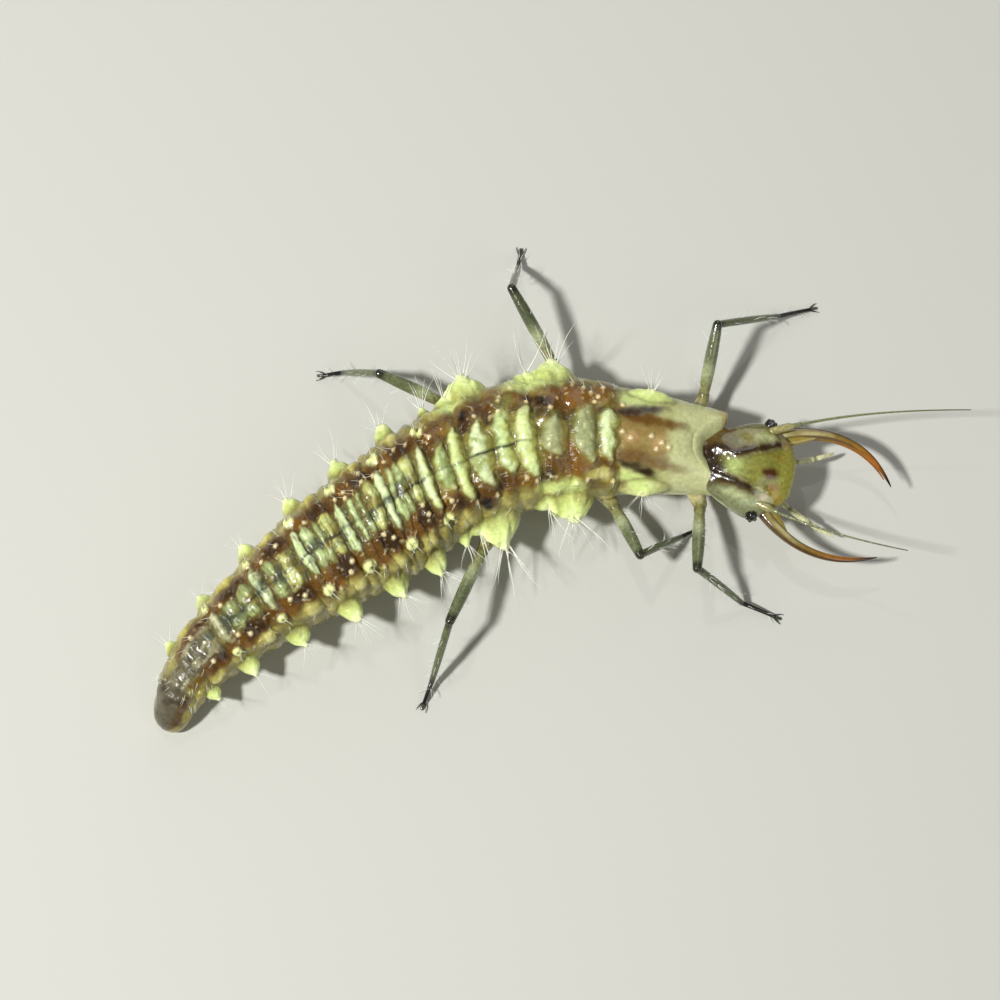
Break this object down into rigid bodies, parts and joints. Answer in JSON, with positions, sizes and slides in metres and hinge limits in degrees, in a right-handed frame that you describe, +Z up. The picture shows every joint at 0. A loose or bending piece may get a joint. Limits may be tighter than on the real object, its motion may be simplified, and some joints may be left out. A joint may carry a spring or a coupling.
{
  "type": "green lacewing larva",
  "caption": "Life-size still model of a green lacewing larva: spindle-shaped banded body with side tubercles, flat head with sickle jaws, standing on its feet and tail pad.",
  "frame": {"origin": "on the ground plane, under the middle of the bounding box", "axes": "+X along the body towards the head, +Y towards the animal's left side, +Z up"},
  "size_m": [0.0116, 0.0074, 0.0017],
  "materials": {
    "skin": "soft satin skin, red-brown bands with cream-green bars and cream tubercles",
    "head": "smooth, slightly translucent horn, dark brown stripes",
    "eye": "glossy black",
    "jaw": "glossy amber horn, dark tips",
    "feeler": "satin, greenish grey-brown",
    "leg": "satin, translucent grey-green with blackish knees and feet"
  },
  "bodies": {
    "root": {"abdomen_1": "skin", "abdomen_2": "skin", "abdomen_3": "skin", "abdomen_4": "skin", "abdomen_5": "skin", "abdomen_6": "skin", "abdomen_7": "skin", "abdomen_8": "skin", "abdomen_tail": "skin", "antenna_left": "feeler", "antenna_right": "feeler", "eye_left": "eye", "eye_right": "eye", "head": "head", "jaw_left": "jaw", "jaw_right": "jaw", "leg_front_left": "leg", "leg_front_right": "leg", "leg_hind_left": "leg", "leg_hind_right": "leg", "leg_middle_left": "leg", "leg_middle_right": "leg", "mesothorax": "skin", "metathorax": "skin", "palp_left": "feeler", "palp_right": "feeler", "prothorax": "skin"}
  },
  "joints": []
}
